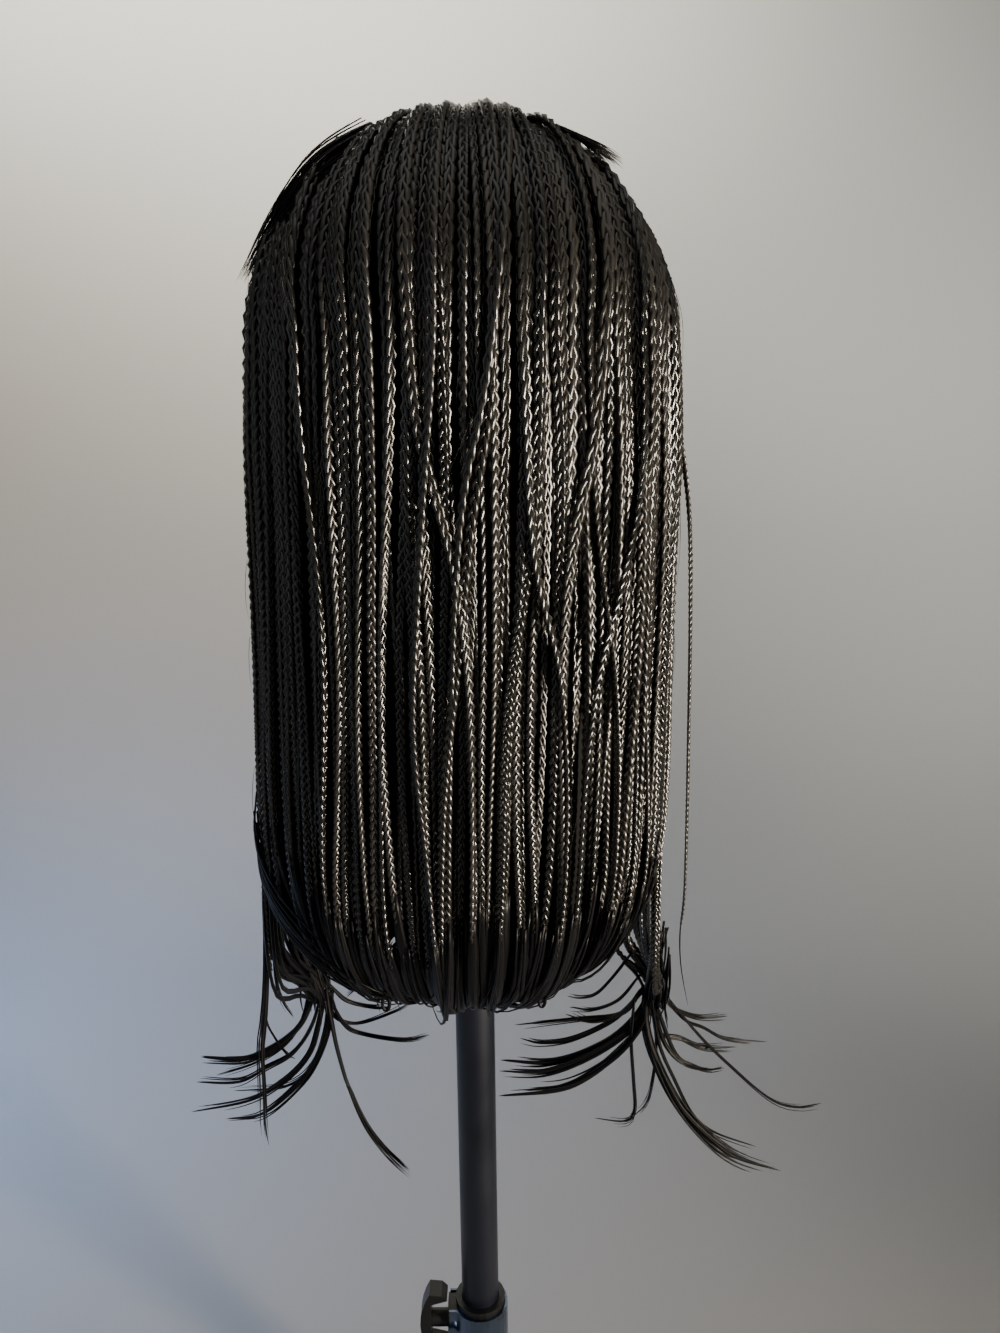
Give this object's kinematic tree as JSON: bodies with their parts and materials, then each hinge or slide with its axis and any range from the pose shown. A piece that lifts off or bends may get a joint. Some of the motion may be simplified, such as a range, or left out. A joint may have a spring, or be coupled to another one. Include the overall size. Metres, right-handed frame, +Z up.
{
  "type": "braid wig on a pole stand",
  "caption": "Long wig of thin black braids on a lace cap, open at the face, with loose curved ends, held up by a clamped pole on a round base.",
  "frame": {"origin": "centre of the base plate's underside, on the pole's axis", "axes": "+Z up along the pole; the wig's back faces -Y and its face opening +Y; +X is the wearer's right"},
  "size_m": [0.3974, 0.24, 0.8376],
  "materials": {
    "braided_hair": "black synthetic fibre in three-strand braids, satin",
    "loose_hair": "black synthetic fibre, loose and smooth, satin",
    "lace_cap": "black net, matte",
    "painted_steel": "black paint, satin",
    "moulded_plastic": "black moulded, fine grain",
    "plated_steel": "plated, brushed"
  },
  "bodies": {
    "root": {"wig_cap": "lace_cap", "crown_braids": "braided_hair", "braid_panel_1": "braided_hair", "braid_panel_2": "braided_hair", "braid_panel_3": "braided_hair", "braid_panel_4": "braided_hair", "braid_panel_5": "braided_hair", "braid_panel_6": "braided_hair", "braid_panel_7": "braided_hair", "braid_panel_8": "braided_hair", "front_locks_left": "braided_hair", "front_locks_right": "braided_hair", "temple_tuft_left": "loose_hair", "temple_tuft_right": "loose_hair", "stand_pole": "painted_steel", "lower_tube": "painted_steel", "base_plate": "painted_steel", "base_hub": "moulded_plastic", "clamp_collar": "moulded_plastic", "clamp_knob": "moulded_plastic", "clamp_band": "plated_steel", "clamp_bolt": "plated_steel"}
  },
  "joints": []
}
